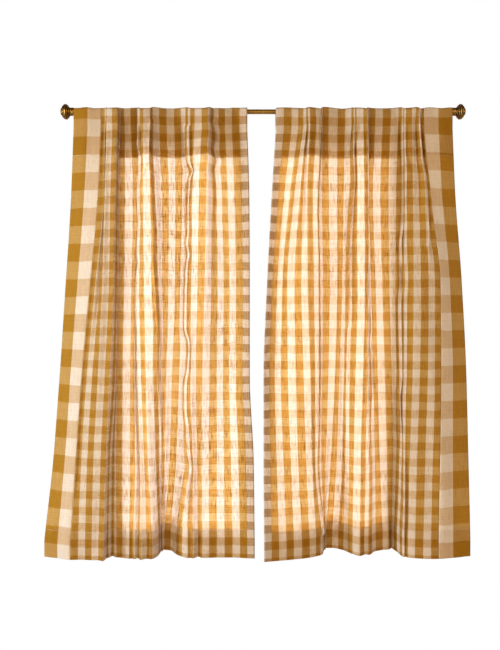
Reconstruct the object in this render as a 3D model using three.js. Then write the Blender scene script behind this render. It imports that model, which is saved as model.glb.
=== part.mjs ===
// Cafe curtain: a pair of gathered gingham panels on one thin brass rod with turned finials.
// Millimetres. The origin is on the rod's axis at mid-length, +X to the viewer's right,
// +Y toward the wall, +Z up. Each panel and each border is a closed sheet hung in folds.
import * as THREE from 'three';

// ---- sizes ----
const ROD_D = 9.5;              // 3/8 in brass rod
const SOCKET_D = 10.1;          // bore in each finial that takes the rod's end
const SOCKET_DEPTH = 10;
const SOCKET_END_GAP = 0.3;
const FINIAL_X = 383;           // from mid-length to a finial's inner face
const CLOTH = 1.4;              // one layer of the stout gingham
const CHECK = 16.4;             // one woven square of the small check
const SEAM_GAP = 0.36;          // between a panel and its border strip
const SIDE_HEM_FOLD = 35;       // the inner side hem starts at this woven column
const INNER_EDGE = 36;
const OUTER_EDGE = -4.37;       // two wide squares of the border, in small columns
const STEEPEST = 5.5;           // most that a steep fold stretches the sheet's depth

const BOTTOM_Z = -905;          // 36 in from the top fold to the bottom fold
const HEM_TOP_Z = -848;         // doubled bottom hem
const HEADING_Z = -93;          // doubled heading, 4 in deep, with the rod at its top
const POCKET_Z = -62;           // under this level the two layers lie together
const TOP_Z = 8.4;              // top fold over the rod
const POCKET_TOP_Z = 5.4;       // underside of that fold, which rests on the rod
const POCKET_DEPTH = 28;        // from the front layer to the back layer at the rod
const TOP_ROUNDNESS = 0.6;      // exponent of the rounded top of the pocket
const SWING_LIFT = 0.05;        // a fold that swings back also rises by this share

// ---- fold tables: a row for each fold line, from the outer edge to the inner edge ----
// col: woven column counted from the border seam; x at six heights; y at three heights
const X_LEVELS = [-37, -165, -352, -536, -707, -871];
const Y_LEVELS = [-37, -400, -871];
const TABLE_COLUMNS = ['col', 'x1', 'x2', 'x3', 'x4', 'x5', 'x6', 'yTop', 'yMid', 'yHem'];
const LEFT_FOLDS = [
  [-4.37, -382.4, -390, -405, -417, -429, -446, -9, 18, 8],
  [-2.18, -353, -361, -377, -391, -402, -417, -19, 0, -3],
  [0, -327, -332, -348, -365, -377, -388, -11, -14, -12],
  [1, -318, -320, -337, -354, -366, -373, -17, -19, -14],
  [3, -313, -316, -321, -330, -340, -345, -21, -24, -15],
  [5, -291, -295, -298, -306, -315, -321, -21, -24, -12],
  [7, -290, -294, -296, -300, -311, -314, -12, -4, 0],
  [10, -288, -292, -294, -297, -299, -298, -7.5, 6, 3],
  [12, -268, -265, -267, -270, -270, -271, -8, 2, -5],
  [13, -255, -256, -258, -261, -260, -261, -9, -2, -8],
  [15, -251, -252, -254, -253, -249, -246, -17, -12, -11],
  [17, -239, -239, -237, -234, -231, -224, -21, -23, -7],
  [18, -226, -225, -222, -219, -217, -214, -20, -24, 14],
  [19, -222, -217, -211, -209, -212, -212.5, -14, -14, 30],
  [20, -210, -205, -204, -205, -208, -211, -9, -4, 41],
  [22, -180, -178, -179, -186, -193, -206, -7.5, 4, 47],
  [23, -166, -164, -168, -171, -179, -192, -8.5, 2, 42],
  [24, -156, -155, -159, -160, -163, -178, -13, -6, 20],
  [26, -146, -146, -150, -150, -148, -153, -21, -23, 0],
  [27, -137, -141, -143, -145, -142, -142, -20, -21, -3],
  [29, -110, -113, -117, -122, -124, -123, -18, -16, 0],
  [31, -100, -95, -92, -94, -94, -94, -9, -4, 2],
  [33, -77, -72, -68, -69, -65, -62, -7.5, 3, 2],
  [36, -32, -28, -27, -27, -19, -17, -12, -8, -4],
];
const RIGHT_FOLDS = [
  [-4.37, 382.4, 391, 409, 418, 421, 424, -9, 19, 10],
  [-2.18, 352, 361, 380, 386, 386, 386, -19, 2, 0],
  [0, 323, 335, 357, 359, 357, 355, -12, -12, -7],
  [2, 311, 320, 331, 330, 327, 324, -13, -14, -3],
  [4, 297, 299, 300, 299, 296, 295, -20, -20, 1],
  [5, 285, 286, 289, 288, 287, 288, -21, -19, 5],
  [8, 279, 279, 274, 277, 280, 279, -13, -8, 33],
  [9, 273, 270, 268, 272, 276, 275, -10, -2, 47],
  [10, 258, 255, 257, 264, 271, 272, -8, 3, 57],
  [12, 227, 224, 229, 235, 242, 251, -7.5, 4, 46],
  [13, 214, 214, 220, 225, 231, 235, -9, 1, 38],
  [16, 207, 208, 210, 209, 209, 208, -17, -14, 18],
  [17, 200, 202, 203, 200, 198, 198, -21, -20, 10],
  [18, 187, 189, 189, 186, 185, 185, -21, -19, 22],
  [20, 182, 181, 172, 169, 170, 169, -15, -10, 44],
  [21, 178, 175, 167, 165, 165, 159, -10, -4, 52],
  [22, 166, 164, 161, 157, 154, 147, -8, 3, 57],
  [23, 151, 151, 151, 148, 142, 134, -7.5, 5, 58],
  [25, 120, 120, 122, 122, 122, 129, -9, 1, 48],
  [26, 117, 115, 116, 118, 119, 126.5, -12, -6, 38],
  [27, 115, 111, 112, 114, 116, 124, -17, -13, 24],
  [29, 93, 88, 89, 95, 100, 108, -21, -17, 8],
  [31, 86, 74, 63, 66, 71, 79, -20, -14, -5],
  [32, 81, 64, 49, 50, 56, 62, -13, -8, -9],
  [33, 71, 55, 39, 36, 41, 47, -9, -6, -12],
  [36, 26, 18, 8, 1, 1, 2, -10, -10, -20],
];

// ---- finial, turned: distance from the tip and radius of each bead's crown ----
const FINIAL_BEADS = [
  { from: 0, to: 3.2, crown: 7.4 },
  { from: 3.2, to: 6.4, crown: 12 },
  { from: 6.4, to: 9.6, crown: 15 },
  { from: 9.6, to: 13, crown: 15.6 },
  { from: 13, to: 16, crown: 13.4 },
  { from: 16, to: 18.4, crown: 9.6 },
];
const BEAD_GROOVE = 1.3;        // depth of the groove between two beads
const COLLAR = { from: 18.4, to: 27.4, radius: 8.1, edge: 0.8 };
const FINIAL_STEPS = 28;

// Smooth interpolation that never overshoots its points; ts rise.
function smoothLine(ts, vs) {
  const n = ts.length;
  const steps = ts.slice(1).map((t, i) => t - ts[i]);
  const grads = steps.map((h, i) => (vs[i + 1] - vs[i]) / h);
  const slopes = vs.map((_, i) => {
    if (i === 0) return grads[0];
    if (i === n - 1) return grads[n - 2];
    const [a, b] = [grads[i - 1], grads[i]];
    if (a * b <= 0) return 0;
    const [wa, wb] = [2 * steps[i] + steps[i - 1], steps[i] + 2 * steps[i - 1]];
    return (wa + wb) / (wa / a + wb / b);
  });
  return (t) => {
    if (t <= ts[0]) return vs[0];
    if (t >= ts[n - 1]) return vs[n - 1];
    let i = 0;
    while (t > ts[i + 1]) i += 1;
    const [h, s] = [steps[i], (t - ts[i]) / steps[i]];
    const [s2, s3] = [s * s, s * s * s];
    return vs[i] * (2 * s3 - 3 * s2 + 1) + slopes[i] * h * (s3 - 2 * s2 + s)
      + vs[i + 1] * (3 * s2 - 2 * s3) + slopes[i + 1] * h * (s3 - s2);
  };
}

function hang(table) {
  const folds = table.map((row) => Object.fromEntries(TABLE_COLUMNS.map((k, i) => [k, row[i]])));
  const cols = folds.map((f) => f.col);
  const up = (levels, values) => smoothLine([...levels].reverse(), [...values].reverse());
  const xs = folds.map((f) => up(X_LEVELS, [f.x1, f.x2, f.x3, f.x4, f.x5, f.x6]));
  const ys = folds.map((f) => up(Y_LEVELS, [f.yTop, f.yMid, f.yHem]));
  // plan curve of the sheet at height z
  return (z) => {
    const x = smoothLine(cols, xs.map((f) => f(z)));
    const y = smoothLine(cols, ys.map((f) => f(z)));
    return (col) => {
      const d = 0.05;
      const [dx, dy] = [x(col + d) - x(col - d), y(col + d) - y(col - d)];
      const stretch = Math.min(Math.hypot(dx, dy) / Math.max(Math.abs(dx), 1e-6), STEEPEST);
      return { x: x(col), y: y(col), stretch };
    };
  };
}

// Depth between the pocket's layers: full at the rod, nothing below the pocket.
function pocketDepth(z) {
  const full = -9;
  if (z >= full) return POCKET_DEPTH;
  if (z <= POCKET_Z) return 0;
  return POCKET_DEPTH * 0.5 * (1 + Math.cos(Math.PI * (full - z) / (full - POCKET_Z)));
}

const HANG_LEVELS = [BOTTOM_Z, HEM_TOP_Z, HEM_TOP_Z + 4, -760, -670, -580, -490, -400, -310, -215,
  HEADING_Z - 4, HEADING_Z, POCKET_Z];
const POCKET_LEVELS = [-46, -31, -17, 0];
const TOP_STEPS = 6;

// Outline of the sheet's section at one column: outer loop and pocket loop, bottom first.
function section(plan, col, sideHem) {
  const at = (z, offset, gap) => {
    const p = plan(z)(col);
    const lift = SWING_LIFT * Math.max(p.y, 0) * Math.min(1, z / BOTTOM_Z);
    return [p.x, p.y + offset * p.stretch + gap, z + lift];
  };
  const back = (z) => {
    const doubled = z >= HEADING_Z || z <= HEM_TOP_Z || (sideHem && z < HEADING_Z);
    return doubled ? 1.5 * CLOTH : 0.5 * CLOTH;
  };
  const front = HANG_LEVELS.map((z) => at(z, -0.5 * CLOTH, 0));
  const rear = HANG_LEVELS.map((z) => at(z, back(z), 0));
  const pocket = {
    outerFront: POCKET_LEVELS.map((z) => at(z, -0.5 * CLOTH, 0)),
    innerFront: POCKET_LEVELS.map((z) => at(z, 0.5 * CLOTH, 0)),
    innerBack: POCKET_LEVELS.map((z) => at(z, 0.5 * CLOTH, pocketDepth(z))),
    outerBack: POCKET_LEVELS.map((z) => at(z, 1.5 * CLOTH, pocketDepth(z))),
  };
  const round = (v) => Math.sign(v) * Math.abs(v) ** TOP_ROUNDNESS;
  const crown = (first, last, height) => {
    const points = [];
    for (let i = 1; i < TOP_STEPS; i += 1) {
      const a = Math.PI * i / TOP_STEPS;
      const s = 0.5 - 0.5 * round(Math.cos(a));
      points.push([first[0], first[1] + (last[1] - first[1]) * s, height * round(Math.sin(a))]);
    }
    return points;
  };
  const last = POCKET_LEVELS.length - 1;
  const outerTop = crown(pocket.outerFront[last], pocket.outerBack[last], TOP_Z);
  const innerTop = crown(pocket.innerFront[last], pocket.innerBack[last], POCKET_TOP_Z);
  const foot = at(POCKET_Z, 0.5 * CLOTH, 0);
  return {
    outer: [...front, ...pocket.outerFront, ...outerTop, ...[...pocket.outerBack].reverse(),
      ...[...rear].reverse()],
    inner: [foot, ...pocket.innerFront, ...innerTop, ...[...pocket.innerBack].reverse()],
    hangCount: HANG_LEVELS.length,
  };
}

// Columns where the sheet is cut into sections between two edges.
function stations(table, from, to) {
  const marks = table.map((r) => r[0]).filter((c) => c > from + 0.2 && c < to - 0.2);
  const ends = [from, ...marks, to];
  const cols = [from];
  for (let i = 1; i < ends.length; i += 1) {
    const parts = ends[i] - ends[i - 1] > 1.5 ? 3 : 2;
    for (let k = 1; k <= parts; k += 1) cols.push(ends[i - 1] + (ends[i] - ends[i - 1]) * k / parts);
  }
  return cols;
}

function sheet(table, from, to) {
  const plan = hang(table);
  let cols = stations(table, from, to);
  if (to > SIDE_HEM_FOLD) {
    cols = cols.filter((c) => Math.abs(c - SIDE_HEM_FOLD) > 0.3);
    cols.push(SIDE_HEM_FOLD - 0.06, SIDE_HEM_FOLD + 0.06);
    cols.sort((a, b) => a - b);
  }
  const cuts = cols.map((c) => section(plan, c, c > SIDE_HEM_FOLD));
  const points = [];
  const faces = [];
  const [no, ni] = [cuts[0].outer.length, cuts[0].inner.length];
  const per = no + ni;
  for (const cut of cuts) points.push(...cut.outer, ...cut.inner);
  const outerAt = (i, k) => i * per + (k % no);
  const innerAt = (i, k) => i * per + no + (k % ni);
  const quad = (a, b, c, d) => faces.push([a, b, c], [a, c, d]);
  for (let i = 0; i + 1 < cuts.length; i += 1) {
    for (let k = 0; k < no; k += 1) {
      quad(outerAt(i, k), outerAt(i + 1, k), outerAt(i + 1, k + 1), outerAt(i, k + 1));
    }
    for (let k = 0; k < ni; k += 1) {
      quad(innerAt(i, k), innerAt(i, k + 1), innerAt(i + 1, k + 1), innerAt(i + 1, k));
    }
  }
  // the two cut edges: doubled or single cloth below, a ring around the pocket above
  const h = cuts[0].hangCount;
  for (const [i, flip] of [[0, false], [cuts.length - 1, true]]) {
    const cap = (...loop) => {
      const order = flip ? [...loop].reverse() : loop;
      for (let k = 1; k + 1 < order.length; k += 1) faces.push([order[0], order[k], order[k + 1]]);
    };
    for (let k = 0; k + 2 < h; k += 1) {
      cap(outerAt(i, k), outerAt(i, k + 1), outerAt(i, no - 2 - k), outerAt(i, no - 1 - k));
    }
    cap(innerAt(i, 0), outerAt(i, no - h), outerAt(i, no - h + 1), outerAt(i, h - 2),
      outerAt(i, h - 1));
    for (let k = 0; k < ni; k += 1) {
      cap(outerAt(i, h - 1 + k), outerAt(i, h + k), innerAt(i, k + 1), innerAt(i, k));
    }
  }
  const rising = table[0][1] < table[table.length - 1][1];
  const geometry = new THREE.BufferGeometry();
  geometry.setAttribute('position', new THREE.Float32BufferAttribute(points.flat(), 3));
  geometry.setIndex(faces.flatMap((f) => (rising ? f : [f[0], f[2], f[1]])));
  geometry.computeVertexNormals();
  return geometry;
}

function finial() {
  const length = COLLAR.to;
  const profile = [[0, 0]];
  for (const bead of FINIAL_BEADS) {
    const mid = (bead.from + bead.to) / 2;
    const half = (bead.to - bead.from) / 2;
    profile.push([mid - 0.6 * half, bead.crown - 0.35], [mid + 0.6 * half, bead.crown - 0.35]);
    profile.push([bead.to, Math.min(bead.crown, nextCrown(bead)) - BEAD_GROOVE]);
  }
  profile.push([COLLAR.from + 0.4, COLLAR.radius], [length - COLLAR.edge, COLLAR.radius]);
  profile.push([length, COLLAR.radius - COLLAR.edge], [length, SOCKET_D / 2]);
  profile.push([length - SOCKET_DEPTH, SOCKET_D / 2], [length - SOCKET_DEPTH, 0]);
  // turned about Z first, then laid along X with the tip pointing to -X
  const outline = profile.map(([along, radius]) => new THREE.Vector2(radius, along));
  const geometry = new THREE.LatheGeometry(outline, FINIAL_STEPS);
  geometry.rotateZ(-Math.PI / 2);
  geometry.translate(-(FINIAL_X + length), 0, 0);
  return geometry;
}

function nextCrown(bead) {
  const next = FINIAL_BEADS[FINIAL_BEADS.indexOf(bead) + 1];
  return next ? next.crown : COLLAR.radius + BEAD_GROOVE;
}

function rod() {
  const length = 2 * (FINIAL_X + SOCKET_DEPTH - SOCKET_END_GAP);
  const geometry = new THREE.CylinderGeometry(ROD_D / 2, ROD_D / 2, length, 32);
  geometry.rotateZ(Math.PI / 2);
  return geometry;
}

const brass = new THREE.MeshStandardMaterial({ name: 'brass', color: 0x9a7438, metalness: 1, roughness: 0.4 });
const smallCheck = new THREE.MeshStandardMaterial({ name: 'small_gingham', color: 0xd9a45a, roughness: 0.9 });
const wideCheck = new THREE.MeshStandardMaterial({ name: 'wide_gingham', color: 0xc79a5a, roughness: 0.9 });

const part = new THREE.Group();
function add(name, geometry, material) {
  const mesh = new THREE.Mesh(geometry, material);
  mesh.name = name;
  part.add(mesh);
}

// half of the seam's gap, in woven columns at the sheet's gathered width
const seam = (SEAM_GAP / 2) / (0.52 * CHECK);
add('rod', rod(), brass);
add('finial_left', finial(), brass);
const rightFinial = finial();
rightFinial.rotateZ(Math.PI);
add('finial_right', rightFinial, brass);
add('left_panel', sheet(LEFT_FOLDS, seam, INNER_EDGE), smallCheck);
add('left_border', sheet(LEFT_FOLDS, OUTER_EDGE, -seam), wideCheck);
add('right_panel', sheet(RIGHT_FOLDS, seam, INNER_EDGE), smallCheck);
add('right_border', sheet(RIGHT_FOLDS, OUTER_EDGE, -seam), wideCheck);

export default part;
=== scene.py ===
"""Cafe curtain pair on a brass rod: the fine cloth, the finishes, the light and the camera.

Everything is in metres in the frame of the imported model: the origin is on the rod's axis at
mid-length, +X to the viewer's right, +Y toward the wall, +Z up.
"""

import math

import bpy
import numpy as np
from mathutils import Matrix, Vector


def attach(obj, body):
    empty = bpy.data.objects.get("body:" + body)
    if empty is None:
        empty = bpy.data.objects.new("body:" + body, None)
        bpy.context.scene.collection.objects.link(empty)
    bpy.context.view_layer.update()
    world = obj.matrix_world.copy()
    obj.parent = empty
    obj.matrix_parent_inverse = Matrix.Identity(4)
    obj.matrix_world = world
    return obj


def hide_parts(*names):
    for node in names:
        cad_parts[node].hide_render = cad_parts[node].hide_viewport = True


MM = 0.001

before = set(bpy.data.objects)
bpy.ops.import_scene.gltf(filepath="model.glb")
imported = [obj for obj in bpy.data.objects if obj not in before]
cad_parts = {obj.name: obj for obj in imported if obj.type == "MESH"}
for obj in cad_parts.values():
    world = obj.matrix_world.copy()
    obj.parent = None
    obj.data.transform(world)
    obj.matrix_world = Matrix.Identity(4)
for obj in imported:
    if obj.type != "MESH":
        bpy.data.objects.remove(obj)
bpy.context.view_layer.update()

# ---- sizes in millimetres, as the solids have them ----
CHECK = 16.4            # one woven square of the small gingham
WIDE_CHECK = 35.8       # one woven square of the border's wide gingham
CLOTH = 1.4             # from one layer to the next where the cloth is doubled
THREAD_SHEET = 0.4      # thickness of the woven sheet itself
SEAM_GAP = 0.1          # between the border's edge and the panel's, which meet in the seam
BOTTOM_Z = -905.0
HEM_TOP_Z = -848.0
HEADING_Z = -93.0
POCKET_Z = -62.0
TOP_Z = 7.4             # middle of the fold over the rod
POCKET_DEPTH = 28.0
POCKET_FULL_Z = -9.0
TOP_ROUNDNESS = 0.6
SWING_LIFT = 0.05
STEEPEST = 9.0
KEPT_WIDTH = 0.78       # share of its woven width that each fold is given at least
DEEPEST_PLEAT = 9.0
CREST_PUSH = 0.55       # how much further forward the crests stand than the solids' folds
RECESS_PUSH = 1.2       # how much further back the recesses of the heading lie, below the rod
FORWARD_MOST = -34.0
CREASE_HEIGHT = 1.5     # the crease tables' heights and half widths are multiplied by these
CREASE_WIDTH = 0.8
KINK_WIDTH = 1.4        # how many woven columns to each side a kink carries with it
GRID_DENSITY = 5.4      # grid columns to a woven column
CREASE_DENSITY = 8.6    # how many more of them there are along a crease
ROWS_STRAY = 0.9        # how unevenly the woven rows lie, and how unevenly the top edge does
TOP_STRAY = 1.6
BORDER_MIDDLE = -2.18   # middle of the border's width, in woven columns
RECESS_FROM = -14.0     # fold lines further back than this are recesses, up to RECESS_DEPTH more
RECESS_DEPTH = 6.5
CREST_FROM = -7.5       # fold lines further forward than this are crests
OUTER_EDGE = -4.37
INNER_EDGE = 36.0
SIDE_HEM = 1.0          # width of the turned inner edge, in woven columns
SIDE_FOLD = 0.45        # how far the turned inner edge lies behind the front layer
TOP_SLOPE = 0.34        # fall of the top toward the viewer, where it stands forward of the rod
SLOPE_FADE = 45.0

# ---- fold tables: woven column from the border seam, x at six heights, y at three ----
X_LEVELS = [-37, -165, -352, -536, -707, -871]
Y_LEVELS = [-37, -400, -871]
LEFT_FOLDS = [
    [-4.37, -382.4, -390, -405, -417, -429, -446, -9, 18, 8],
    [-2.18, -353, -361, -377, -391, -402, -417, -19, 0, -3],
    [0, -327, -332, -348, -365, -377, -388, -11, -14, -12],
    [1, -318, -320, -337, -354, -366, -373, -17, -19, -14],
    [3, -313, -316, -321, -330, -340, -345, -21, -24, -15],
    [5, -291, -295, -298, -306, -315, -321, -21, -24, -12],
    [7, -290, -294, -296, -300, -311, -314, -12, -4, 0],
    [10, -288, -292, -294, -297, -299, -298, -7.5, 6, 3],
    [12, -268, -265, -267, -270, -270, -271, -8, 2, -5],
    [13, -255, -256, -258, -261, -260, -261, -9, -2, -8],
    [15, -251, -252, -254, -253, -249, -246, -17, -12, -11],
    [17, -239, -239, -237, -234, -231, -224, -21, -23, -7],
    [18, -226, -225, -222, -219, -217, -214, -20, -24, 14],
    [19, -222, -217, -211, -209, -212, -212.5, -14, -14, 30],
    [20, -210, -205, -204, -205, -208, -211, -9, -4, 41],
    [22, -180, -178, -179, -186, -193, -206, -7.5, 4, 47],
    [23, -166, -164, -168, -171, -179, -192, -8.5, 2, 42],
    [24, -156, -155, -159, -160, -163, -178, -13, -6, 20],
    [26, -146, -146, -150, -150, -148, -153, -21, -23, 0],
    [27, -137, -141, -143, -145, -142, -142, -20, -21, -3],
    [29, -110, -113, -117, -122, -124, -123, -18, -16, 0],
    [31, -100, -95, -92, -94, -94, -94, -9, -4, 2],
    [33, -77, -72, -68, -69, -65, -62, -7.5, 3, 2],
    [36, -32, -28, -27, -27, -19, -17, -12, -8, -4],
]
RIGHT_FOLDS = [
    [-4.37, 382.4, 391, 409, 418, 421, 424, -9, 19, 10],
    [-2.18, 352, 361, 380, 386, 386, 386, -19, 2, 0],
    [0, 323, 335, 357, 359, 357, 355, -12, -12, -7],
    [2, 311, 320, 331, 330, 327, 324, -13, -14, -3],
    [4, 297, 299, 300, 299, 296, 295, -20, -20, 1],
    [5, 285, 286, 289, 288, 287, 288, -21, -19, 5],
    [8, 279, 279, 274, 277, 280, 279, -13, -8, 33],
    [9, 273, 270, 268, 272, 276, 275, -10, -2, 47],
    [10, 258, 255, 257, 264, 271, 272, -8, 3, 57],
    [12, 227, 224, 229, 235, 242, 251, -7.5, 4, 46],
    [13, 214, 214, 220, 225, 231, 235, -9, 1, 38],
    [16, 207, 208, 210, 209, 209, 208, -17, -14, 18],
    [17, 200, 202, 203, 200, 198, 198, -21, -20, 10],
    [18, 187, 189, 189, 186, 185, 185, -21, -19, 22],
    [20, 182, 181, 172, 169, 170, 169, -15, -10, 44],
    [21, 178, 175, 167, 165, 165, 159, -10, -4, 52],
    [22, 166, 164, 161, 157, 154, 147, -8, 3, 57],
    [23, 151, 151, 151, 148, 142, 134, -7.5, 5, 58],
    [25, 120, 120, 122, 122, 122, 129, -9, 1, 48],
    [26, 117, 115, 116, 118, 119, 126.5, -12, -6, 38],
    [27, 115, 111, 112, 114, 116, 124, -17, -13, 24],
    [29, 93, 88, 89, 95, 100, 108, -21, -17, 8],
    [31, 86, 74, 63, 66, 71, 79, -20, -14, -5],
    [32, 81, 64, 49, 50, 56, 62, -13, -8, -9],
    [33, 71, 55, 39, 36, 41, 47, -9, -6, -12],
    [36, 26, 18, 8, 1, 1, 2, -10, -10, -20],
]

# Main creases, one a line: height of the ridge (a trough where negative), half width, which side
# the ridge's own small trough is on (1 to the viewer's right), then heights down the drop and
# where the crease runs at each, all in millimetres.
LEFT_CREASES = [
    (-3.4, 2.2, 0,
     [-60, -117, -158, -204, -226, -260, -291, -304, -335, -391, -441, -534, -734, -848],
     [-254, -249, -255, -254, -251, -255, -257, -254, -258, -260, -258, -257, -252, -252]),
    (5.0, 2.8, 1, [-18, -89, -148, -204, -254, -298, -360, -441, -508, -637, -844],
     [-224, -226, -223, -221, -218, -218, -215, -210, -211, -208, -207]),
    (6.0, 3.0, -1,
     [-30, -89, -108, -125, -139, -158, -204, -251, -267, -295, -310, -360, -441, -469, -524, -550,
      -598, -644, -689, -721, -767, -844],
     [-153, -153, -150, -141, -149, -153, -156, -153, -156, -150, -154, -157, -159, -148, -152,
      -159, -160, -155, -152, -147, -152, -155]),
    (4.0, 2.6, 1,
     [-18, -46, -80, -102, -117, -142, -173, -230],
     [-104, -98, -103, -98, -103, -101, -100, -102]),
]
RIGHT_CREASES = [
    (-4.0, 2.4, 1,
     [-10, -95, -203, -296, -438, -637, -734, -864],
     [115, 115, 112, 114, 115, 115, 113, 123]),
    (5.0, 3.0, -1,
     [-18, -49, -92, -141, -191, -265, -358, -438],
     [188, 185, 182, 183, 177, 172, 171, 169]),
    (5.5, 2.8, 1,
     [-18, -86, -110, -172, -213, -244, -296, -321, -352, -389, -438, -472, -508, -572, -637, -700],
     [211, 213, 210, 211, 207, 214, 213, 211, 207, 214, 217, 214, 221, 220, 217, 214]),
    (5.5, 3.0, -1,
     [-15, -80, -129, -172, -234, -265, -343, -389, -438, -540, -579, -670, -767, -864],
     [281, 282, 285, 284, 282, 277, 284, 277, 278, 281, 277, 283, 286, 286]),
    (4.0, 2.8, 1, [-5, -64, -98, -141, -203, -280], [310, 316, 319, 327, 330, 333]),
]

# Some crests lean over to one side. How far each of these fold lines stands back (forward where
# negative) from where its pleat would otherwise be, in the heading, at mid-drop and at the foot.
LEFT_LEAN = {1: (7, 8, 6), 3: (5, 5, 4), 5: (-4.5, 0, -6), 26: (6, 2, 0), 27: (3, 1, 0),
             29: (-8.5, -3, 0)}
RIGHT_LEAN = {0: (-5, 0, 0), 2: (-10, -3, -2), 4: (1.5, 2, 0), 5: (5.5, 4, 0), 16: (-8.5, -4, 0),
              17: (3, 2, 0), 18: (8, 4, 0), 20: (3, 0, 0)}
LEAN_LEVELS = [-871, -420, -150]
# Heights between which the heading's recesses are pushed back, and the share of it at each.
RECESS_LEVELS = [-350, -150, -45, -10]
RECESS_SHARE = [0, 1, 1, 0]


# ---------------------------------------------------------------- cloth surfaces
def smooth_slopes(ts, vs):
    """Slopes at the points ts of the values vs, whose last axis follows ts, so that the curve
    never overshoots: nought at a turning point, else the weighted harmonic mean of the two
    gradients beside it."""
    h = np.diff(ts)
    g = np.diff(vs, axis=-1) / h
    a, b = g[..., :-1], g[..., 1:]
    wa = 2 * h[1:] + h[:-1]
    wb = h[1:] + 2 * h[:-1]
    same = a * b > 0
    safe_a = np.where(same, a, 1.0)
    safe_b = np.where(same, b, 1.0)
    inner = np.where(same, (wa + wb) / (wa / safe_a + wb / safe_b), 0.0)
    return np.concatenate([g[..., :1], inner, g[..., -1:]], axis=-1)


def smooth_line(ts, vs, at):
    """The cubic Hermite curve through (ts, vs) with smooth_slopes, read at the places in at."""
    ts = np.asarray(ts, float)
    m = smooth_slopes(ts, vs)
    at = np.clip(at, ts[0], ts[-1])
    i = np.clip(np.searchsorted(ts, at, side="right") - 1, 0, len(ts) - 2)
    h = ts[i + 1] - ts[i]
    s = (at - ts[i]) / h
    return (
        vs[..., i] * (2 * s**3 - 3 * s**2 + 1)
        + m[..., i] * h * (s**3 - 2 * s**2 + s)
        + vs[..., i + 1] * (3 * s**2 - 2 * s**3)
        + m[..., i + 1] * h * (s**3 - s**2)
    )


def plan(table, creases, leans, cols, zs):
    """x, y and stretch of the sheet's middle for each height in zs (rows) and column in cols.
    The fold lines are first smoothed up the height, then carried sideways in each crease's
    kinks, then joined across at each height. Where the cloth between two fold lines is wider
    than the room it has, what is left over stands as one small pleat between them. The creases
    come on top. Stretch is the plan curve's length over its run in x, and at most STEEPEST."""
    folds = np.asarray(table, float)
    marks = folds[:, 0]
    x_lines = smooth_line(X_LEVELS[::-1], folds[:, 6:0:-1], zs).T
    y_lines = smooth_line(Y_LEVELS[::-1], folds[:, 9:6:-1], zs).T
    y_lines = deepened(marks, leans, y_lines, zs)
    pleats = pleat_depths(marks, x_lines, y_lines, zs)
    for _, _, _, down, path in creases:
        reach = np.exp(-((marks - crease_column(folds, down, path)) / KINK_WIDTH) ** 2)
        x_lines = x_lines + crease_stray(down, path, zs)[:, None] * reach

    def depth(c):
        i = np.clip(np.searchsorted(marks, c, side="right") - 1, 0, len(marks) - 2)
        t = np.clip((c - marks[i]) / (marks[i + 1] - marks[i]), 0, 1)
        smooth = smooth_line(marks, y_lines, c) + pleats[:, i] * np.sin(np.pi * t) ** 2
        return smooth - crease_relief(creases, smooth_line(marks, x_lines, c), zs)

    step = 0.04
    dx = smooth_line(marks, x_lines, cols + step) - smooth_line(marks, x_lines, cols - step)
    dy = depth(cols + step) - depth(cols - step)
    stretch = np.minimum(np.hypot(dx, dy) / np.maximum(np.abs(dx), 1e-6), STEEPEST)
    return smooth_line(marks, x_lines, cols), depth(cols), stretch


def crease_column(folds, down, path):
    """The woven column that a crease follows, as the mean over its length."""
    x_lines = smooth_line(X_LEVELS[::-1], folds[:, 6:0:-1], np.array(down, float)).T
    turn = np.sign(folds[-1, 1] - folds[0, 1])
    return np.mean([np.interp(turn * x, turn * row, folds[:, 0]) for x, row in zip(path, x_lines)])


def crease_stray(down, path, zs):
    """How far a crease's path strays at each height from the cubic that fits it best, or from
    the straight line where the crease is short. Nought past its ends."""
    heights = np.array(down, float)
    scaled = (heights - heights[0]) / 400
    smooth = np.polyfit(scaled, path, 3 if len(path) > 8 else 1)
    stray = np.array(path) - np.polyval(smooth, scaled)
    inside = (zs <= heights[0]) & (zs >= heights[-1])
    return smooth_line(heights[::-1], stray[::-1], zs) * inside


def deepened(marks, leans, y_lines, zs):
    """The fold lines' depths with the crests pushed forward, the heading's recesses pushed back
    below the rod, the leaning crests leant and half of the border's bulge taken out. None comes
    further forward than FORWARD_MOST."""
    below_rod = np.interp(zs, RECESS_LEVELS, RECESS_SHARE)[:, None]
    recess = np.clip(y_lines - RECESS_FROM, 0, RECESS_DEPTH) * (marks >= 5)
    crest = np.maximum(CREST_FROM - y_lines, 0) * (marks > 0)
    y_lines = y_lines - CREST_PUSH * crest + RECESS_PUSH * recess * below_rod
    lean = np.array([leans.get(mark, (0, 0, 0)) for mark in marks], float)
    y_lines = y_lines + smooth_line(LEAN_LEVELS, lean[:, ::-1], zs).T
    flat = 0.5 * (y_lines[:, :1] + y_lines[:, 2:3])
    y_lines = np.where(marks == BORDER_MIDDLE, 0.5 * (y_lines + flat), y_lines)
    return np.maximum(y_lines, FORWARD_MOST)


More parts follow.
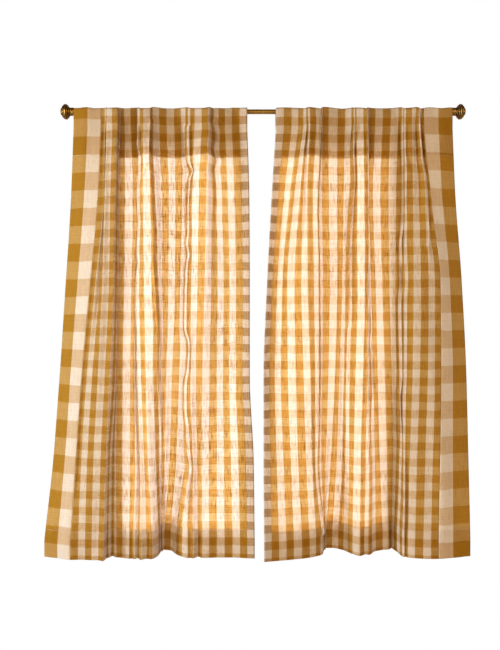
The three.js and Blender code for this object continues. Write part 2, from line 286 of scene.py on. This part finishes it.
def pleat_depths(marks, x_lines, y_lines, zs):
    """Depth of the small pleat in each gap between fold lines, at each height. It takes up
    KEPT_WIDTH of the woven width as two flanks, is no steeper than STEEPEST and no deeper than
    DEEPEST_PLEAT, points back from the crests and forward from the troughs, and dies out at
    the rod. The border is stiff with its seam and hangs without pleats."""
    run = np.abs(np.diff(x_lines, axis=1))
    chord = np.hypot(run, np.diff(y_lines, axis=1))
    woven = KEPT_WIDTH * CHECK * np.diff(marks)
    size = 0.5 * np.sqrt(np.maximum(woven**2 - chord**2, 0))
    size = np.minimum(np.minimum(size, STEEPEST / np.pi * run), DEEPEST_PLEAT)
    middle = 0.5 * (y_lines[:, 1:] + y_lines[:, :-1])
    pivot = np.interp(zs, [-871, -400, -37], [16, 0, 2])[:, None]
    free = np.clip((-6 - zs) / 50, 0, 1)[:, None] * (marks[:-1] >= 0)
    return size * np.tanh((pivot - middle) / 6) * free * free * (3 - 2 * free)


def crease_relief(creases, x, zs):
    """How far forward the creases lift the cloth at each x (rows by height): a bell across each
    crease's path, with a bell half as high pressed in beside it, dying out at both ends."""
    relief = np.zeros_like(x)
    for height, half, side, down, path in creases:
        top, bottom = down[0], down[-1]
        centre = smooth_line(down[::-1], np.array(path[::-1], float), zs)[:, None]
        ends = np.clip((top - zs) / 25, 0, 1) * np.clip((zs - bottom) / 60 + 0.3, 0, 1)
        away = (x - centre) / (CREASE_WIDTH * half)
        bell = np.exp(-away**2) - 0.5 * abs(side) * np.exp(-(away - 2.0 * side) ** 2)
        relief += CREASE_HEIGHT * height * ends[:, None] * bell
    return relief


def pocket_depth(zs):
    """Full depth at the rod, falling as half a cosine wave to nothing at the pocket's foot."""
    t = np.clip((POCKET_FULL_Z - zs) / (POCKET_FULL_Z - POCKET_Z), 0, 1)
    return POCKET_DEPTH * 0.5 * (1 + np.cos(np.pi * t))


def rounded(v):
    return np.sign(v) * np.abs(v) ** TOP_ROUNDNESS


def cloth_path():
    """Stations down one column of cloth, as it is cut: from the raw edge of the heading behind
    the rod, over the top, down the front, round the bottom fold and up to the hem's edge.
    Returns height, share of the way from the front to the back layer, how far the cloth there
    is turned on edge by a fold (up positive), and the length along the cloth, nought at the
    level of the rod in front."""
    behind = np.linspace(HEADING_Z, 0, 20)[:-1]
    turn = np.linspace(np.pi, 0, 13)
    front = np.linspace(0, BOTTOM_Z, 126)[1:]
    fold = np.linspace(0, np.pi, 7)[1:-1]
    hem = np.linspace(BOTTOM_Z, HEM_TOP_Z, 11)[1:]
    z = np.concatenate([behind, TOP_Z * rounded(np.sin(turn)), front,
                        BOTTOM_Z - 0.5 * CLOTH * np.sin(fold), hem])
    share = np.concatenate([behind * 0 + 1, 0.5 - 0.5 * rounded(np.cos(turn)),
                            front * 0, 0.5 - 0.5 * np.cos(fold), hem * 0 + 1])
    on_edge = np.concatenate([behind * 0, np.sin(turn), front * 0, -np.sin(fold), hem * 0])
    over = POCKET_DEPTH * 0.35 + 2 * TOP_Z
    length = np.concatenate([-over + behind, np.linspace(-over, 0, len(turn)), -front,
                             -BOTTOM_Z + 0.5 * CLOTH * fold / np.pi,
                             -BOTTOM_Z + 0.5 * CLOTH + (hem - BOTTOM_Z)])
    return z, share, on_edge, length


def soft_waves(cols, lengths, seed):
    """Small unevenness of hung cotton, in millimetres: a sum of eight long waves across the
    columns and the drop, each with its own slant and phase from the seeded generator."""
    rng = np.random.default_rng(seed)
    out = np.zeros((len(lengths), len(cols)))
    c, v = np.meshgrid(cols * CHECK, lengths)
    for _ in range(8):
        wide = rng.uniform(28, 95)
        tall = rng.uniform(140, 520)
        phase = rng.uniform(0, 2 * np.pi)
        out += np.sin(2 * np.pi * (c / wide + v / tall) + phase) * wide / 95
    return 0.28 * out


def column_places(table, creases, start, stop):
    """The grid's columns: close together along the creases, wider apart between them."""
    folds = np.asarray(table, float)
    fine = np.linspace(start, stop, 3001)
    density = np.full(fine.shape, GRID_DENSITY)
    for _, _, _, down, path in creases:
        away = np.maximum(np.abs(fine - crease_column(folds, down, path)) - 0.4, 0)
        bell = np.exp(-(away / 0.5) ** 2)
        density = np.maximum(density, GRID_DENSITY + CREASE_DENSITY * bell)
    middle = 0.5 * (density[1:] + density[:-1])
    share = np.concatenate([[0.0], np.cumsum(middle * np.diff(fine))])
    across = max(int(round(share[-1])), 16)
    return np.interp(np.linspace(0, share[-1], across + 1), share, fine)


def cloth_sheet(name, table, creases, leans, start, stop, seed, side_hem):
    """One hung sheet as a grid: columns across by stations down cloth_path. A point lies on the
    plan curve at its column and height, moved back by its layer's share of the pocket's depth
    plus one layer of cloth. Soft waves in depth and height keep it uneven. The turned side hem
    is the same grid carried on round the inner edge and back between the layers."""
    cols = column_places(table, creases if side_hem else [], start, stop)
    turned = np.zeros_like(cols)
    if side_hem:
        back_cols = np.linspace(stop, stop - SIDE_HEM, 7)[1:]
        cols = np.concatenate([cols, back_cols])
        turned = np.concatenate([turned, np.ones(len(back_cols))])
    z, share, on_edge, length = cloth_path()
    level = np.where(on_edge > 0, 0.0, np.clip(z, BOTTOM_Z, 0))
    x, y, stretch = plan(table, creases, leans, cols, level)
    gap = (pocket_depth(level) * (level > POCKET_Z))[:, None]
    layer = share[:, None] * CLOTH
    inward = turned[None, :] * SIDE_FOLD * (1 - 2 * share[:, None])
    fade = np.clip(-level / 60, 0, 1)[:, None]
    folded_up = (length > -BOTTOM_Z)[:, None]
    ripple = np.where(folded_up, soft_waves(cols, -2 * BOTTOM_Z - length, seed),
                      soft_waves(cols, length, seed)) * fade
    y_all = y + (layer + inward) * stretch + share[:, None] * gap + ripple
    lift = SWING_LIFT * np.maximum(y, 0) * np.clip(level / BOTTOM_Z, 0, 1)[:, None]
    near_top = np.clip(1 + level / SLOPE_FADE, 0, 1)[:, None]
    slope = TOP_SLOPE * np.maximum(-9 - y, 0) * near_top
    between_ends = np.clip(-level / 120, 0, 1) * np.clip((level - BOTTOM_Z) / 60, 0, 1)
    rows_stray = ROWS_STRAY * between_ends[:, None] * soft_waves(cols, length, seed + 2)
    top_stray = TOP_STRAY * near_top * soft_waves(cols, 0 * length, seed + 1)
    z_all = (z[:, None] + lift - slope * (1 - share[:, None]) + rows_stray + top_stray
             - SIDE_FOLD * turned[None, :] * on_edge[:, None])
    points = np.stack([x, y_all, z_all], axis=-1) * MM
    across_mm = cols * CHECK
    uv = np.stack(np.broadcast_arrays(across_mm[None, :], length[:, None]), axis=-1) * MM
    return grid_mesh(name, points, uv, flip=table[0][1] < table[-1][1])


def grid_mesh(name, points, uv, flip=False, close_across=False):
    """A mesh of quads on a rows-by-columns grid of points, with the UV map 'cloth'."""
    rows, cols = points.shape[:2]
    index = np.arange(rows * cols).reshape(rows, cols)
    if close_across:
        index = np.concatenate([index, index[:, :1]], axis=1)
    a, b = index[:-1, :-1], index[:-1, 1:]
    c, d = index[1:, 1:], index[1:, :-1]
    quads = np.stack([a, b, c, d] if flip else [a, d, c, b], axis=-1).reshape(-1, 4)
    mesh = bpy.data.meshes.new(name)
    mesh.vertices.add(rows * cols)
    mesh.vertices.foreach_set("co", points.reshape(-1).astype(np.float32))
    mesh.loops.add(quads.size)
    mesh.loops.foreach_set("vertex_index", quads.reshape(-1).astype(np.int32))
    mesh.polygons.add(len(quads))
    mesh.polygons.foreach_set("loop_start", np.arange(0, quads.size, 4, dtype=np.int32))
    mesh.polygons.foreach_set("loop_total", np.full(len(quads), 4, dtype=np.int32))
    mesh.update(calc_edges=True)
    mesh.validate()
    if uv is not None:
        layer = mesh.uv_layers.new(name="cloth")
        flat = uv.reshape(-1, 2)[quads.reshape(-1)]
        layer.data.foreach_set("uv", flat.reshape(-1).astype(np.float32))
    mesh.polygons.foreach_set("use_smooth", np.ones(len(quads), dtype=bool))
    piece = bpy.data.objects.new(name, mesh)
    bpy.context.scene.collection.objects.link(piece)
    return piece


# ---------------------------------------------------------------- materials
class Value:
    """A number socket; arithmetic on it adds Math nodes."""

    def __init__(self, finish, socket):
        self.finish = finish
        self.socket = socket

    def _math(self, operation, *others):
        return self.finish.math(operation, self, *others)

    def __add__(self, o):
        return self._math("ADD", o)

    def __sub__(self, o):
        return self._math("SUBTRACT", o)

    def __mul__(self, o):
        return self._math("MULTIPLY", o)

    def __truediv__(self, o):
        return self._math("DIVIDE", o)

    def __radd__(self, o):
        return self.finish.math("ADD", o, self)

    def __rsub__(self, o):
        return self.finish.math("SUBTRACT", o, self)

    def __rmul__(self, o):
        return self.finish.math("MULTIPLY", o, self)

    def floor(self):
        return self._math("FLOOR")

    def wrap(self, size):
        """The remainder after whole lengths of size, from 0 to size."""
        return self.finish.math("WRAP", self, size, 0.0)

    def above(self, edge):
        return self._math("GREATER_THAN", edge)

    def size(self):
        return self._math("ABSOLUTE")

    def clamp(self):
        return self.finish.node("ShaderNodeClamp", {}, {"Value": self}).out("Result")

    def sine(self):
        return self._math("SINE")


class Made:
    """A node that was just made, for reading its outputs."""

    def __init__(self, finish, raw):
        self.finish = finish
        self.raw = raw

    def out(self, name=0):
        return Value(self.finish, self.raw.outputs[name])


class Finish:
    """One material and the nodes in it."""

    def __init__(self, name):
        self.material = bpy.data.materials.new(name)
        self.material.use_nodes = True
        self.tree = self.material.node_tree
        self.tree.nodes.clear()

    def node(self, kind, settings, inputs):
        raw = self.tree.nodes.new(kind)
        for key, value in settings.items():
            setattr(raw, key, value)
        for key, value in inputs.items():
            self.feed(raw.inputs[key], value)
        return Made(self, raw)

    def feed(self, socket, value):
        if isinstance(value, Made):
            value = value.out()
        if isinstance(value, Value):
            self.tree.links.new(value.socket, socket)
        else:
            socket.default_value = value

    def math(self, operation, *values):
        inputs = dict(enumerate(values))
        return self.node("ShaderNodeMath", {"operation": operation}, inputs).out()

    def mix(self, factor, low, high, how="MIX"):
        """A colour between low and high, each an RGB tuple or a colour."""
        settings = {"data_type": "RGBA", "blend_type": how}
        pad = [c if isinstance(c, Value) else (*c, 1.0) for c in (low, high)]
        return self.node("ShaderNodeMix", settings, {0: factor, 6: pad[0], 7: pad[1]}).out(2)

    def noise(self, vector, scale, detail=2.0):
        return self.node("ShaderNodeTexNoise", {}, {
            "Vector": vector, "Scale": scale, "Detail": detail}).out("Fac")

    def random(self, value):
        """A number from 0 to 1 that is the same wherever value is the same."""
        return self.node("ShaderNodeTexWhiteNoise", {"noise_dimensions": "1D"}, {"W": value}).out("Value")

    def join(self, x, y, z=0.0):
        return self.node("ShaderNodeCombineXYZ", {}, {"X": x, "Y": y, "Z": z}).out()

    def near(self, value, centre_mm, half_mm):
        """1 where value is within half_mm of centre_mm, else 0."""
        return 1 - (value - centre_mm * MM).size().above(half_mm * MM)

    def shader_mix(self, factor, first, second):
        return self.node("ShaderNodeMixShader", {}, {0: factor, 1: first, 2: second})

    def finish_with(self, shader):
        self.node("ShaderNodeOutputMaterial", {}, {"Surface": shader})
        return self.material


def linear(red, green, blue):
    """A colour given as it looks on a screen, 0 to 255, as linear light."""
    def one(v):
        v /= 255
        return v / 12.92 if v <= 0.04045 else ((v + 0.055) / 1.055) ** 2.4
    return tuple(one(v) for v in (red, green, blue))


# What the cloth's four kinds of square give back, and what they let through. The first word is
# the warp's, the yarns that run down the drop; the second is the weft's.
BOTH_LIGHT, WEFT_DARK = (0.94, 0.80, 0.66), (0.78, 0.53, 0.33)
WARP_DARK, BOTH_DARK = (0.62, 0.36, 0.105), (0.48, 0.235, 0.010)
BOTH_LIGHT_LIT, WEFT_DARK_LIT = (0.92, 0.89, 0.88), (0.89, 0.87, 0.77)
WARP_DARK_LIT, BOTH_DARK_LIT = (0.84, 0.72, 0.46), (0.82, 0.60, 0.30)
# painted shade: the dark brown of thick slub yarns seen against light behind them, put into their colour
SLUB_PAINTED_SHADE = (0.42, 0.16, 0.04)
# painted shade of light through two layers of dark weft, for the turned side hem
WEFT_DARK_DOUBLED_SHADE = (0.52, 0.32, 0.17)
YARN_PITCH = 0.00092


def gingham(name, square_mm, first_dark_col_mm, first_dark_row_mm, sheer, slubs):
    """Two colours of yarn in even bands both ways, so that there are four kinds of square. The
    weave lifts each yarn in turn, and slubs make some yarns thicker for part of their length:
    they let less light through, and their colour is also painted darker and browner as painted
    shade, the look they have with light behind them. In the turned side hem the dark rows are
    painted darker as painted shade of light through two layers. A row of stitches runs along each hem."""
    f = Finish(name)
    uv = f.node("ShaderNodeUVMap", {"uv_map": "cloth"}, {})
    parts = f.node("ShaderNodeSeparateXYZ", {}, {0: uv})
    u, v = parts.out("X"), parts.out("Y")
    square = square_mm * MM
    dark_warp = 1 - (u - first_dark_col_mm * MM).wrap(2 * square).above(square)
    dark_weft = 1 - (v - first_dark_row_mm * MM).wrap(2 * square).above(square)

    # single yarns, each a little lighter or darker than the next
    warp_number = (u / YARN_PITCH).floor()
    weft_number = (v / YARN_PITCH).floor()
    yarn_tone = (f.random(warp_number) + f.random(weft_number + 0.37)) * 0.5
    # slubs: long thin streaks along the warp and along the weft
    warp_slub = f.noise(f.join(u * 420, v * 42), 1.0, 2.0)
    weft_slub = f.noise(f.join(u * 50, v * 420, 3.0), 1.0, 2.0)
    warp_thick = ((warp_slub - 0.52) * 7).clamp()
    weft_thick = ((weft_slub - 0.55) * 7).clamp()
    blotch = f.noise(uv, 14.0, 3.0) - 0.5
    slubby = (f.noise(f.join(u * 7, v * 5, 8.0), 1.0, 1.0) * 2.6 - 0.75).clamp()
    thick = ((warp_thick + weft_thick * 0.7).clamp() * (slubby * 0.75 + 0.25)).clamp()

    # which yarn lies on top, and how high it stands, for the weave's relief
    warp_crown = (u / YARN_PITCH * math.pi).sine().size()
    weft_crown = (v / YARN_PITCH * math.pi).sine().size()
    over = (warp_number + weft_number).wrap(2.0).above(0.5)
    stitch_rows = (f.near(v, -HEADING_Z - 2.0, 0.45) + f.near(v, -HEM_TOP_Z + 2.0, 0.45)).clamp()
    stitches = stitch_rows * u.wrap(0.0042).above(0.0011)
    relief = (over * warp_crown + (1 - over) * weft_crown + thick * 0.9
              + stitches * 1.2 - stitch_rows * 0.8)

    # painted shade: thick slub yarns darken the tone, as they look with light behind them; yarn_tone and
    # blotch are the yarns' own uneven tone
    shade = (0.5 + (yarn_tone - 0.5) * 0.5 + thick * 0.45 + blotch * 0.6).clamp()
    low = f.mix(dark_warp, BOTH_LIGHT, WARP_DARK)
    high = f.mix(dark_warp, WEFT_DARK, BOTH_DARK)
    # painted shade: dark weft over dark weft in the turned side hem, darkened in colour as light through
    # two layers looks
    turned_dark = u.above((INNER_EDGE - SIDE_HEM) * CHECK * MM) * dark_weft
    plain = f.mix(turned_dark, f.mix(dark_weft, low, high), WEFT_DARK_DOUBLED_SHADE)
    darker = f.mix(1.0, plain, (0.86, 0.80, 0.72), "MULTIPLY")
    lighter = f.mix(1.0, plain, (1.05, 1.06, 1.09), "MULTIPLY")
    # painted shade: slubs are mixed toward a dark brown under any light, the look of thick yarn against
    # light behind it
    yarns = f.mix(thick * slubs * 0.5, f.mix(shade, lighter, darker), SLUB_PAINTED_SHADE)
    colour = f.mix(stitches * 0.6, yarns, BOTH_LIGHT)

    bump = f.node("ShaderNodeBump", {}, {"Strength": 0.35, "Distance": 0.0004, "Height": relief})
    front = f.node("ShaderNodeBsdfPrincipled", {}, {
        "Base Color": colour,
        "Roughness": 0.92,
        "Specular IOR Level": 0.2,
        "Sheen Weight": 0.1,
        "Sheen Roughness": 0.5,
        "Normal": bump,
    })
    lit = [f.node("ShaderNodeBsdfTranslucent", {}, {"Color": (*c, 1.0)})
           for c in (BOTH_LIGHT_LIT, WARP_DARK_LIT, WEFT_DARK_LIT, BOTH_DARK_LIT)]
    lit_low = f.shader_mix(dark_warp, lit[0], lit[1])
    lit_high = f.shader_mix(dark_warp, lit[2], lit[3])
    through = f.shader_mix(dark_weft, lit_low, lit_high)
    open_weave = (sheer - thick * slubs * 0.50 - (yarn_tone - 0.5) * 0.14
                  - turned_dark * 0.30).clamp()
    return f.finish_with(f.shader_mix(open_weave, front, through))


def aged_brass():
    """Turned brass with dark patina where the attribute 'groove' is high, fine lathe lines and
    cloudy wear."""
    f = Finish("brass_aged")
    groove = f.node("ShaderNodeAttribute", {"attribute_name": "groove"}, {}).out("Fac")
    place = f.node("ShaderNodeTexCoord", {}, {}).out("Object")
    cloud = f.noise(place, 160.0, 4.0)
    split = f.node("ShaderNodeSeparateXYZ", {}, {0: place})
    lines = f.noise(f.join(split.out("X") * 5200, 0.0), 1.0, 1.0)
    dark = (groove * 1.15 + (cloud - 0.5) * 0.7 + 0.12).clamp()
    colour = f.mix(dark, linear(176, 132, 66), linear(38, 25, 14))
    bump = f.node("ShaderNodeBump", {}, {"Strength": 0.15, "Distance": 0.0001, "Height": lines})
    metal = f.node("ShaderNodeBsdfPrincipled", {}, {
        "Base Color": colour,
        "Metallic": 1.0,
        "Roughness": (0.26 + cloud * 0.18 + dark * 0.22).clamp(),
        "Normal": bump,
    })
    return f.finish_with(metal)


# ---------------------------------------------------------------- finials
FINIAL_X = 383.0
SOCKET_D = 10.1
SOCKET_DEPTH = 10.0
FINIAL_BEADS = [
    (0.0, 3.2, 7.4),
    (3.2, 6.4, 12.0),
    (6.4, 9.6, 15.0),
    (9.6, 13.0, 15.6),
    (13.0, 16.0, 13.4),
    (16.0, 18.4, 9.6),
]
BEAD_GROOVE = 1.3
COLLAR_FROM, COLLAR_TO, COLLAR_RADIUS = 18.4, 27.4, 8.1


def bead_profile():
    """Distance from the tip, radius and depth in a groove, for each point of the turned
    outline. Between two grooves a bead swells as the root of a half ellipse."""
    along, radius, groove = [0.0], [0.0], [0.3]
    for i, (start, end, crown) in enumerate(FINIAL_BEADS):
        before = FINIAL_BEADS[i - 1][2] if i else 0.0
        after = FINIAL_BEADS[i + 1][2] if i + 1 < len(FINIAL_BEADS) else COLLAR_RADIUS + BEAD_GROOVE
        low = min(before, crown) - BEAD_GROOVE if i else 0.0
        high = min(crown, after) - BEAD_GROOVE
        for k in range(1, 13):
            t = k / 12
            swell = math.sqrt(max(1 - (2 * t - 1) ** 2, 0))
            base = low + (high - low) * t
            along.append(start + (end - start) * t)
            radius.append(base + (crown - base) * swell)
            groove.append(1 - swell)
    edge = 0.8
    collar = [
        (COLLAR_FROM + 0.3, COLLAR_RADIUS - 0.5, 0.9),
        (COLLAR_FROM + 0.8, COLLAR_RADIUS, 0.2),
        (COLLAR_TO - 3.4, COLLAR_RADIUS, 0.1),
        (COLLAR_TO - 3.1, COLLAR_RADIUS - 0.5, 1.0),
        (COLLAR_TO - 2.8, COLLAR_RADIUS, 0.1),
        (COLLAR_TO - edge, COLLAR_RADIUS, 0.1),
        (COLLAR_TO - 0.25 * edge, COLLAR_RADIUS - 0.3 * edge, 0.1),
        (COLLAR_TO, COLLAR_RADIUS - edge, 0.2),
        (COLLAR_TO, SOCKET_D / 2, 1.0),
        (COLLAR_TO - SOCKET_DEPTH, SOCKET_D / 2, 1.0),
        (COLLAR_TO - SOCKET_DEPTH, 0.0, 1.0),
    ]
    for a, r, g in collar:
        along.append(a)
        radius.append(r)
        groove.append(g)
    return np.array(along), np.array(radius), np.array(groove)


def finial(name, side):
    """The outline turned about the rod's axis: x from the profile, y and z its radius times the
    sine and cosine of the turn. side is -1 at the left end and 1 at the right."""
    along, radius, groove = bead_profile()
    turns = 64
    angle = np.linspace(0, 2 * np.pi, turns, endpoint=False)
    x = side * (FINIAL_X + COLLAR_TO - along)
    points = np.stack(np.broadcast_arrays(
        x[:, None], radius[:, None] * np.sin(angle), radius[:, None] * np.cos(angle)), axis=-1) * MM
    piece = grid_mesh(name, points, None, flip=side > 0, close_across=True)
    mark = piece.data.attributes.new("groove", "FLOAT", "POINT")
    mark.data.foreach_set("value", np.repeat(groove, turns).astype(np.float32))
    merge = piece.modifiers.new("poles", "WELD")
    merge.merge_threshold = 0.00001
    return piece


# ---------------------------------------------------------------- the parts
def thicken(piece):
    """Gives the woven sheet its own thickness, half each way."""
    solid = piece.modifiers.new("thickness", "SOLIDIFY")
    solid.thickness = THREAD_SHEET * MM
    solid.offset = 0


# first dark column from the border seam, and first dark row below the rod, in millimetres
small_left = gingham("gingham_small_left", CHECK, 0.0, 11.4, 0.62, 1.0)
small_right = gingham("gingham_small_right", CHECK, 0.0, 13.6, 0.62, 0.75)
wide_left = gingham("gingham_wide_left", WIDE_CHECK, -2 * WIDE_CHECK, 53.2, 0.50, 0.3)
wide_right = gingham("gingham_wide_right", WIDE_CHECK, -2 * WIDE_CHECK, 14.2, 0.50, 0.3)

seam = (SEAM_GAP / 2) / (0.52 * CHECK)
PANEL_RUN = (seam, INNER_EDGE)
BORDER_RUN = (OUTER_EDGE, -seam)
SIDES = [
    ("left", LEFT_FOLDS, LEFT_CREASES, LEFT_LEAN, small_left, wide_left, 11),
    ("right", RIGHT_FOLDS, RIGHT_CREASES, RIGHT_LEAN, small_right, wide_right, 23),
]


def hang(part, side, run, cloth):
    """Makes and names one cloth of one side: its panel, which has a turned side hem, or its
    border. Run is its first and last woven column."""
    side_name, folds, creases, leans, _, _, seed = side
    side_hem = part == "panel"
    node = side_name + "_" + part
    piece = cloth_sheet(node + "_cloth", folds, creases, leans, *run, seed, side_hem)
    piece.data.materials.append(cloth)
    thicken(piece)
    width = (run[1] - run[0] + (SIDE_HEM if side_hem else 0)) * CHECK * MM
    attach(piece, "root")
    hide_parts(node)


for side in SIDES:
    hang("panel", side, PANEL_RUN, side[4])
for side in SIDES:
    hang("border", side, BORDER_RUN, side[5])

brass = aged_brass()
for piece_name, node, side in (("finial_left_turned", "finial_left", -1),
                               ("finial_right_turned", "finial_right", 1)):
    knob = finial(piece_name, side)
    knob.data.materials.append(brass)
    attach(knob, "root")
    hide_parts(node)

rod_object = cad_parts["rod"]
for slot in rod_object.material_slots:
    slot.material = brass

# ---------------------------------------------------------------- light, floor and camera
FLOOR_Z = -1.35


def soft_light(name, place, aim, width, height, power, colour=(1, 1, 1), spread=math.pi):
    data = bpy.data.lights.new(name, "AREA")
    data.shape = "RECTANGLE"
    data.size = width
    data.size_y = height
    data.energy = power
    data.color = colour
    data.spread = spread
    light = bpy.data.objects.new(name, data)
    light.location = place
    light.rotation_mode = "QUATERNION"
    light.rotation_quaternion = (Vector(aim) - Vector(place)).to_track_quat("-Z", "Y")
    light.visible_camera = False
    bpy.context.scene.collection.objects.link(light)


def pale_world(seen, below, above, behind):
    """A plain pale surround. seen is how bright it looks; what it lights with goes from below to
    above up the height, and behind is added from the window's side."""
    world = bpy.data.worlds.new("surround")
    world.use_nodes = True
    tree = world.node_tree
    tree.nodes.clear()

    def node(kind, settings, *inputs):
        raw = tree.nodes.new(kind)
        for key, value in settings.items():
            setattr(raw, key, value)
        for i, value in enumerate(inputs):
            if isinstance(value, bpy.types.NodeSocket):
                tree.links.new(value, raw.inputs[i])
            else:
                raw.inputs[i].default_value = value
        return raw

    way = node("ShaderNodeTexCoord", {}).outputs["Generated"]
    split = node("ShaderNodeSeparateXYZ", {}, way)
    height = node("ShaderNodeMapRange", {}, split.outputs[2], -0.6, 0.6, below, above)
    back = node("ShaderNodeMapRange", {}, split.outputs[1], 0.0, 1.0, 0.0, behind)
    strength = node("ShaderNodeMath", {"operation": "ADD"}, height.outputs[0], back.outputs[0])
    felt = node("ShaderNodeBackground", {}, (1, 0.80, 0.55, 1), strength.outputs[0])
    look = node("ShaderNodeBackground", {}, (1, 1, 1, 1), seen)
    camera_ray = node("ShaderNodeLightPath", {}).outputs["Is Camera Ray"]
    blend = node("ShaderNodeMixShader", {}, camera_ray, felt.outputs[0], look.outputs[0])
    node("ShaderNodeOutputWorld", {}, blend.outputs[0])
    bpy.context.scene.world = world


BELOW, ABOVE, BEHIND = 0.10, 0.04, 0.70
WINDOW, KEY, FILL, OTHER = 5.6, 64.0, 31.0, 25.0
# the two casements: where each starts and ends, its tint and its cone in degrees
CASEMENTS = [
    ("left", -0.285, -0.043, (0.89, 0.86, 0.92), 32),
    ("right", 0.012, 0.258, (0.74, 0.64, 0.60), 46),
]
pale_world(1.0, BELOW, ABOVE, BEHIND)
# daylight behind the cloth, through two casements with a post between them
for side_name, left, right, tint, cone in CASEMENTS:
    middle = (left + right) / 2
    soft_light("window_" + side_name, (middle, 0.09, -0.472), (middle, 0, -0.472), right - left, 0.772,
               WINDOW * (right - left), tint, math.radians(cone))
# the room's light, from the left and nearly along the cloth
soft_light("room_key", (-2.2, -0.80, -0.4), (0, 0, -0.45), 0.3, 1.4, KEY,
           (0.69, 0.84, 1.0))
soft_light("room_fill", (-0.9, -2.2, 0.2), (0, 0, -0.45), 1.4, 1.4, FILL,
           (1.0, 0.82, 0.42))
soft_light("room_other", (1.3, -2.0, -0.2), (0.1, 0, -0.45), 1.0, 1.4, OTHER,
           (1.0, 0.88, 0.80))

floor_grid = np.array([[[x, y, FLOOR_Z] for x in (-1.2, 1.2)] for y in (-1.2, 0.56)])
floor = grid_mesh("floor", floor_grid, None, flip=True)
pale = Finish("floor_pale")
floor.data.materials.append(pale.finish_with(pale.node(
    "ShaderNodeBsdfPrincipled", {}, {"Base Color": (0.84, 0.84, 0.83, 1), "Roughness": 0.8})))

# the camera faces the pair square on, from a metre and a half, level with mid-drop
VIEW_DISTANCE = 1.5
FRAME_HEIGHT = 1.3195       # what the upright frame takes in at the rod
SENSOR = 36.0
camera_data = bpy.data.cameras.new("camera")
camera_data.sensor_width = SENSOR
camera_data.lens = SENSOR * VIEW_DISTANCE / FRAME_HEIGHT
camera = bpy.data.objects.new("camera", camera_data)
camera.location = (-0.0264, -VIEW_DISTANCE, -0.4328)
camera.rotation_euler = (math.pi / 2, 0, 0)
bpy.context.scene.collection.objects.link(camera)
bpy.context.scene.camera = camera
bpy.context.scene.view_settings.view_transform = "Standard"
